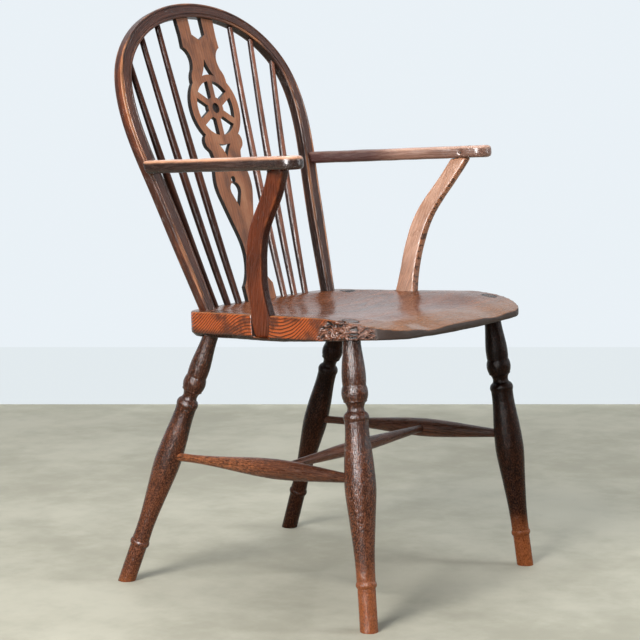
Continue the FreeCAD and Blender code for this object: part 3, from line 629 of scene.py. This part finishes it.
def bow_grain(bow, up, out):
    """Each vertex's distance across, through and along the bent bow."""
    half = list(BOW_LINE)
    line = smooth_line(half + [(-x, s) for x, s in reversed(half[:-1])], BOW_STEPS)
    run = np.concatenate([[0.0], np.cumsum(np.linalg.norm(np.diff(line, axis=0), axis=1))])
    heading = np.gradient(line, axis=0)
    heading /= np.linalg.norm(heading, axis=1)[:, None]
    points = np.array([v.co for v in bow.data.vertices]) - np.array(BOW_AT)
    flat = np.stack([points[:, 0], points @ up], 1)
    nearest = np.concatenate([np.argmin(((part[:, None] - line[None]) ** 2).sum(2), 1)
                              for part in np.array_split(flat, BOW_BATCHES)])
    offset = flat - line[nearest]
    along = run[nearest] + (offset * heading[nearest]).sum(1)
    across = offset[:, 0] * heading[nearest][:, 1] - offset[:, 1] * heading[nearest][:, 0]
    return np.stack([across, points @ out, along], 1)


def build_bow():
    bow = copy_of("bow", "bow_bent")
    up = np.array((0.0, math.sin(BOW_RAKE), math.cos(BOW_RAKE)))
    out = np.array((0.0, -math.cos(BOW_RAKE), math.sin(BOW_RAKE)))
    layer = bow.data.attributes.new("grain", "FLOAT_VECTOR", "POINT")
    layer.data.foreach_set("vector", bow_grain(bow, up, out).astype(np.float32).ravel())
    dress(bow, bow_material(Vector(out)))
    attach(bow, "root")
    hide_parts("bow")


def bow_material(out):
    shader = Shader("bow_ash")
    grain = shader.attribute("grain", vector=True)
    across = shader.split(grain)[0]
    made = wood(shader, grain, TONES["bow"], spacing=0.0028, ring_depth=0.5, fibre_along=9.0, pores=0.5)
    face_on = shader.facing(out)
    face = shader.step(face_on, 0.5, 0.8)
    side = shader.step(face_on, 0.5, 0.25)
    outer = shader.step(across, -0.004, 0.006, 0.25, 1.0)
    edge = edge_share(shader, [out], low=0.985, high=0.80)
    edge = shader.product(edge, shader.step(face_on, 0.05, 0.35), outer)
    # Pale lines along the beads: partly wear, partly painted highlight; the inner one, on the far half only, is
    # painted highlight.
    outer_bead = shader.product(shader.band(across, OUTER_BEAD_AT, 0.0034, 0.0012), face)
    far_half = shader.step(shader.split(shader.place())[0], *FAR_HALF)
    inner_bead = shader.product(shader.band(across, INNER_BEAD_AT, 0.0042, 0.0015), face, far_half)
    bead = shader.math("MAXIMUM", outer_bead, inner_bead)
    patchy = shader.step(shader.streaks(grain, 60.0, 9.0, 4.0, 0.6), 0.42, 0.64)
    wear = shader.product(shader.math("MAXIMUM", edge, bead), patchy)
    streak = shader.step(made["fibre"], 0.55, 0.75)
    wear = shader.math("MULTIPLY_ADD", shader.product(streak, patchy), 0.25, wear)
    red = shader.mix(patchy, BOW_SHADES["side_dark"], BOW_SHADES["side_red"])
    shade = shader.mix(shader.product(side, outer, 0.8), made["colour"], red)
    inside = shader.product(side, shader.step(across, 0.0, -0.006), 0.85)
    shade = shader.mix(inside, shade, BOW_SHADES["inside"])
    shade = shader.mix(shader.math("MINIMUM", wear, 0.75), shade, WORN["bow"])
    return finish_surface(shader, shade, sheen(shader, made, 0.26, 0.42), made["height"], 0.0003)


# The height up to which each leg's foot is worn to bare wood, in metres.
FOOT_WEAR = {
    ("front", "left"): 0.085,
    ("front", "right"): 0.100,
    ("rear", "left"): -0.010,
    ("rear", "right"): 0.022,
}
FOOT_SHADES = ((0.13, 0.036, 0.012), (0.32, 0.095, 0.030))
# The specks of wear get denser between these heights, downward.
SPECK_HEIGHTS = (0.36, 0.12)


def dress_leg(row, side):
    name = "leg_%s_%s" % (row, side)
    look = "leg_" + side
    shader, grain, made, shade = straight_piece(name, look, spacing=0.0030, ring_depth=0.30, blotch=0.6)
    height = shader.split(shader.place())[2]
    speck = shader.streaks(grain, 560.0, 340.0, 3.0, 0.6)
    cloud = shader.streaks(grain, 60.0, 24.0)
    fall = shader.step(height, *SPECK_HEIGHTS, -0.06, 0.05)
    rub = shader.math("MULTIPLY_ADD", cloud, 0.22, shader.math("ADD", speck, fall))
    shade = shader.mix(shader.step(rub, 0.54, 0.84, 0.0, 0.8), shade, WORN[look])
    bare_foot = FOOT_WEAR[row, side]
    ragged = shader.math("MULTIPLY_ADD", cloud, 0.05, height)
    foot = shader.step(ragged, bare_foot + 0.035, bare_foot - 0.02)
    foot_shade = shader.mix(shader.step(speck, 0.25, 0.65), *FOOT_SHADES)
    shade = shader.mix(shader.product(foot, 0.9), shade, foot_shade)
    relief = shader.math("MULTIPLY_ADD", speck, 1.5, shader.product(made["height"], 0.5))
    rough = shader.step(speck, 0.35, 0.65, 0.11, 0.24)
    ior = WAX_IOR if side == "right" else DULL_IOR
    dress(name, finish_surface(shader, shade, rough, relief, 0.00050, dents=0.0012, ior=ior))


# How far the dark finish has gone from each stretcher, and where along the seat it gets barer.
STRETCHER_WEAR = {"side_stretcher_left": 0.12, "side_stretcher_right": 0.9, "cross_stretcher": 0.35}
STRETCHER_REAR = (-0.11, 0.03)


def dress_stretchers():
    for name, worn in STRETCHER_WEAR.items():
        shader, grain, made, shade = straight_piece(name, "stretcher", spacing=0.0028, ring_depth=0.4)
        speck = shader.streaks(grain, 500.0, 160.0, 4.0, 0.7)
        rear = shader.step(shader.split(shader.place())[1], *STRETCHER_REAR, -0.06, 0.12)
        rubbed = shader.step(shader.math("ADD", speck, rear), 0.48, 0.78, 0.0, worn)
        shade = shader.mix(rubbed, shade, WORN["stretcher"])
        rough = sheen(shader, made, 0.25, 0.42)
        dress(name, finish_surface(shader, shade, rough, made["height"], 0.0004, dents=0.0008))


# How much the sticks' fronts are lightened on each side, and their gloss. The lighter fronts are partly wear
# from sitters' backs and partly painted light from the window, which is why the far side gets more.
STICK_RUB_AND_LIGHT = {"left": 0.85, "right": 0.22}
STICK_IOR = {"left": WAX_IOR, "right": DULL_IOR}
STICK_NUMBERS = (1, 2, 3)


def dress_sticks():
    for side in SIDES:
        for number in STICK_NUMBERS:
            name = "stick_%s_%d" % (side, number)
            shader, grain, made, shade = straight_piece(name, "stick", spacing=0.0024, ring_depth=0.4)
            rub = shader.streaks(grain, 70.0, 18.0)
            # Lighter fronts: partly wear, partly painted light from the window.
            front = shader.step(shader.facing_front(), 0.25, 0.85)
            rubbed = shader.product(front, shader.step(rub, 0.30, 0.58, 0.25, 1.0), STICK_RUB_AND_LIGHT[side])
            shade = shader.mix(rubbed, shade, WORN["stick"])
            rough = sheen(shader, made, 0.26, 0.42)
            dress(name, finish_surface(shader, shade, rough, made["height"], 0.0003, ior=STICK_IOR[side]))


SPLAT_LEAN = math.radians(17.0)
# Where the hub's painted shade lies: its middle, its reach and its soft edge.
HUB_AT = (0.0, 0.2062, 0.7222)
HUB_REACH = 0.0086
HUB_EDGE = 0.0008
SPLAT_SHADES = dict(smudge=(0.075, 0.034, 0.022), pale=(0.36, 0.175, 0.095), walls=(0.010, 0.006, 0.005),
                    hub=(0.018, 0.010, 0.008))


def dress_splat():
    out = (0.0, -math.cos(SPLAT_LEAN), math.sin(SPLAT_LEAN))
    shader, grain, made, shade = straight_piece("splat", "splat", spacing=0.0060, ring_depth=0.30, blotch=0.4,
                                                pith=(0.01, 0.09, 0.0))
    smudge = shader.streaks(grain, 38.0, 16.0, 4.0, 0.6)
    shade = shader.mix(shader.step(smudge, 0.50, 0.34, 0.0, 0.6), shade, SPLAT_SHADES["smudge"])
    shade = shader.mix(shader.step(smudge, 0.52, 0.70, 0.0, 0.7), shade, SPLAT_SHADES["pale"])
    shade = shader.mix(shader.step(shader.facing(out), 0.8, 0.4), shade, SPLAT_SHADES["walls"])
    # A dark disc at the hub: painted shade, as of a hole there.
    hub = shader.vector("LENGTH", shader.vector("SUBTRACT", shader.place(), HUB_AT))
    shade = shader.mix(shader.step(hub, HUB_REACH, HUB_REACH - HUB_EDGE), shade, SPLAT_SHADES["hub"])
    rough = shader.step(smudge, 0.3, 0.75, 0.34, 0.46)
    dress("splat", finish_surface(shader, shade, rough, made["height"], 0.0003, dents=0.0003))


# The arms and their supports are softened: voxel size, smoothing passes and unevenness.
ARM_SOFTENING = (0.0015, 45, 0.0005)
SUPPORT_SOFTENING = (0.0014, 16, 0.0004)
# The painted sheen on top of each arm, a pale glare colour, and the dark stretch with the y it starts and ends
# at.
ARM_TOP_SHEEN = {"right": (0.70, 0.47, 0.38), "left": (0.42, 0.26, 0.21)}
ARM_DARK = {
    # The near arm's dark stretch is painted shade on the front of its nose, where little light reaches.
    "right": dict(span=(-0.128, -0.146), share=0.9, shade=(0.012, 0.007, 0.006)),
    "left": dict(span=(0.00, 0.07), share=0.8, shade=(0.045, 0.016, 0.018)),
}


def dress_arms():
    for side in SIDES:
        name = "arm_" + side
        shader, grain, made, shade = straight_piece(name, name, spacing=0.0032, ring_depth=0.25)
        up = shader.split(shader.normal())[2]
        rub = shader.streaks(grain, 60.0, 10.0, 3.0, 0.6)
        bare = shader.product(shader.step(up, 0.10, 0.60), shader.step(rub, 0.30, 0.55, 0.5, 0.95))
        shade = shader.mix(bare, shade, WORN[name])
        # Pale glare colour on the arm's top faces: painted sheen.
        pale = shader.product(shader.step(up, 0.70, 0.95), shader.step(rub, 0.36, 0.60, 0.35, 0.9))
        shade = shader.mix(pale, shade, ARM_TOP_SHEEN[side])
        # A dark stretch along the arm; on the near arm it is painted shade on the front of the nose.
        dark = ARM_DARK[side]
        ragged = shader.math("MULTIPLY_ADD", rub, 0.03, shader.split(shader.place())[1])
        shade = shader.mix(shader.step(ragged, *dark["span"], 0.0, dark["share"]), shade, dark["shade"])
        rough = sheen(shader, made, 0.20, 0.34)
        piece = softened(name, *ARM_SOFTENING)
        dress(piece, finish_surface(shader, shade, rough, made["height"], 0.0002, dents=0.0003, ior=ARM_IOR))


# The near support is nearly black in front: painted shade, where little light falls. The far one is orange
# there, with dark ticks, and its foot is rough between two heights.
SUPPORT_AXES = ((1.0, 0.0, 0.0), (0.0, 1.0, 0.0))
SUPPORT_FOOT = (0.500, 0.455)
SUPPORT_SHADES = dict(painted_shade_front=(0.018, 0.005, 0.003), front=(0.30, 0.105, 0.038),
                      ticks=(0.050, 0.017, 0.009), foot=(0.14, 0.060, 0.036))


def near_support_front(shader, shade):
    # Painted shade: the front face is made nearly black.
    front = shader.step(shader.facing_front(), 0.5, 0.85, 0.0, 0.85)
    return shader.mix(front, shade, SUPPORT_SHADES["painted_shade_front"])


def far_support_front(shader, grain, made, shade):
    ticks = shader.streaks(grain, 90.0, 190.0, 2.0)
    front = shader.step(shader.facing_front(), 0.40, 0.70)
    shade = shader.mix(shader.product(front, 0.75), shade, SUPPORT_SHADES["front"])
    ticked = shader.product(front, shader.step(ticks, 0.50, 0.60), 0.85)
    shade = shader.mix(ticked, shade, SUPPORT_SHADES["ticks"])
    z = shader.split(shader.place())[2]
    foot = shader.product(shader.step(z, *SUPPORT_FOOT), shader.step(made["fibre"], 0.42, 0.60), 0.7)
    return shader.mix(foot, shade, SUPPORT_SHADES["foot"])


def dress_supports():
    for side in SIDES:
        name = "arm_support_" + side
        shader, grain, made, shade = straight_piece(name, "support_" + side, worn_axes=SUPPORT_AXES, wear=0.5,
                                                    spacing=0.0040, ring_depth=0.22, pores=0.5)
        if side == "right":
            shade = near_support_front(shader, shade)
        else:
            shade = far_support_front(shader, grain, made, shade)
        rough = sheen(shader, made, 0.24, 0.38)
        piece = softened(name, *SUPPORT_SOFTENING)
        dress(piece, finish_surface(shader, shade, rough, made["height"], 0.0003, dents=0.0004))


WEDGE_SHADES = ((0.030, 0.014, 0.008), (0.16, 0.070, 0.032))
IRON_SHADES = ((0.035, 0.030, 0.028), (0.11, 0.055, 0.030))


def dress_wedges():
    shader = Shader("wedge_end_grain")
    spots = shader.noise(shader.place(), 900.0, 3.0)
    shade = shader.mix(shader.step(spots, 0.4, 0.6), *WEDGE_SHADES)
    wedge = finish_surface(shader, shade, 0.4, spots, 0.0002)
    for name in ("leg_wedges", "bow_wedges", "arm_wedges"):
        dress(name, wedge)


def dress_iron():
    shader = Shader("dark_iron")
    spots = shader.noise(shader.place(), 700.0, 4.0)
    shade = shader.mix(shader.step(spots, 0.45, 0.62), *IRON_SHADES)
    shader.body.inputs["Metallic"].default_value = 0.7
    iron = finish_surface(shader, shade, shader.step(spots, 0.4, 0.65, 0.38, 0.7), spots, 0.0001)
    for name in ("arm_pins", "arm_screws"):
        dress(name, iron)


def board(name, corners, material):
    """A flat piece of the stage."""
    mesh = bpy.data.meshes.new(name)
    mesh.from_pydata([tuple(c) for c in corners], [], [(0, 1, 2, 3)])
    mesh.materials.append(material)
    return add_to_scene(bpy.data.objects.new(name, mesh))


def floor_material():
    shader = Shader("floor_concrete")
    place = shader.place()
    cloud = shader.noise(place, 2.4, 5.0, 0.6)
    mist = shader.noise(place, 14.0, 4.0, 0.65)
    blend = shader.math("MULTIPLY_ADD", mist, 0.35, shader.product(cloud, 0.65))
    shader.put(shader.body.inputs["Base Color"], shader.mix(shader.step(blend, 0.38, 0.62), *FLOOR_COLOURS))
    shader.put(shader.body.inputs["Roughness"], shader.step(mist, 0.3, 0.7, 0.60, 0.80))
    shader.body.inputs["Specular IOR Level"].default_value = FLOOR_SHINE
    return shader.material


def skirting_material():
    """Plain paint that the camera sees evenly lit, as it sees the wall."""
    shader = Shader("skirting_paint")
    shader.body.inputs["Base Color"].default_value = colour(SKIRTING_COLOUR)
    seen = shader.node("ShaderNodeLightPath").outputs["Is Camera Ray"]
    flat = shader.node("ShaderNodeEmission")
    flat.inputs["Color"].default_value = colour(SKIRTING_COLOUR)
    surface = shader.mix_surfaces(seen, shader.body.outputs["BSDF"], flat.outputs["Emission"])
    shader.put(shader.output.inputs["Surface"], surface)
    return shader.material


def build_stage():
    ahead = camera_ahead()
    right = Vector((ahead.y, -ahead.x, 0.0))
    near = ahead * -FLOOR_HALF
    far = ahead * WALL_BEHIND
    near_left, near_right = near - right * FLOOR_HALF, near + right * FLOOR_HALF
    far_left, far_right = far - right * FLOOR_HALF, far + right * FLOOR_HALF
    rise = Vector((0.0, 0.0, SKIRTING_HEIGHT))
    floor = board("floor", (near_left, near_right, far_right, far_left), floor_material())
    skirting_corners = (far_left, far_right, far_right + rise, far_left + rise)
    skirting = board("skirting", skirting_corners, skirting_material())


def build_world():
    """Soft light all round. The camera sees the pale wall instead, and so does gloss on its side."""
    world = bpy.data.worlds.new("studio")
    bpy.context.scene.world = world
    world.use_nodes = True
    graph = Graph(world.node_tree)
    ray = graph.node("ShaderNodeLightPath").outputs
    looking = graph.node("ShaderNodeTexCoord").outputs["Generated"]
    wall_side = graph.vector("DOT_PRODUCT", looking, tuple(camera_ahead()))
    mirrored = graph.product(ray["Is Glossy Ray"], graph.step(wall_side, 0.0, 0.5, kind="LINEAR"))
    seen = graph.math("MAXIMUM", ray["Is Camera Ray"], ray["Is Transmission Ray"])
    shown = graph.math("MAXIMUM", seen, mirrored)
    backgrounds = []
    for tint, strength in ((SOFT_LIGHT, SOFT_STRENGTH), (WALL_COLOUR, 1.0)):
        background = graph.node("ShaderNodeBackground")
        background.inputs["Color"].default_value = colour(tint)
        background.inputs["Strength"].default_value = strength
        backgrounds.append(background.outputs[0])
    output = graph.node("ShaderNodeOutputWorld")
    graph.put(output.inputs["Surface"], graph.mix_surfaces(shown, *backgrounds))


def build_lamps():
    for name, look in LAMPS.items():
        lamp = bpy.data.lights.new(name, "AREA")
        lamp.shape = "RECTANGLE"
        lamp.size, lamp.size_y = look["size"]
        lamp.energy = look["power"]
        lamp.color = look["tint"]
        holder = add_to_scene(bpy.data.objects.new(name, lamp))
        holder.location = look["at"]
        aim = Vector(LAMPS_AIM) - Vector(look["at"])
        holder.rotation_euler = aim.to_track_quat("-Z", "Y").to_euler()
        holder.visible_diffuse = name not in REFLECTION_LAMPS


def build_camera():
    lens = bpy.data.cameras.new("camera")
    lens.lens = CAMERA_LENS
    lens.sensor_width = CAMERA_SENSOR
    camera = add_to_scene(bpy.data.objects.new("camera", lens))
    camera.location = CAMERA_AT
    camera.rotation_euler = (math.radians(90.0 - CAMERA_PITCH), 0.0, math.radians(-CAMERA_YAW))
    bpy.context.scene.camera = camera
    bpy.context.scene.view_settings.view_transform = "Standard"


build_camera()
build_stage()
build_world()
build_lamps()
build_seat()
build_bow()
for leg_row, leg_side in FOOT_WEAR:
    dress_leg(leg_row, leg_side)
dress_stretchers()
dress_sticks()
dress_splat()
dress_arms()
dress_supports()
dress_wedges()
dress_iron()
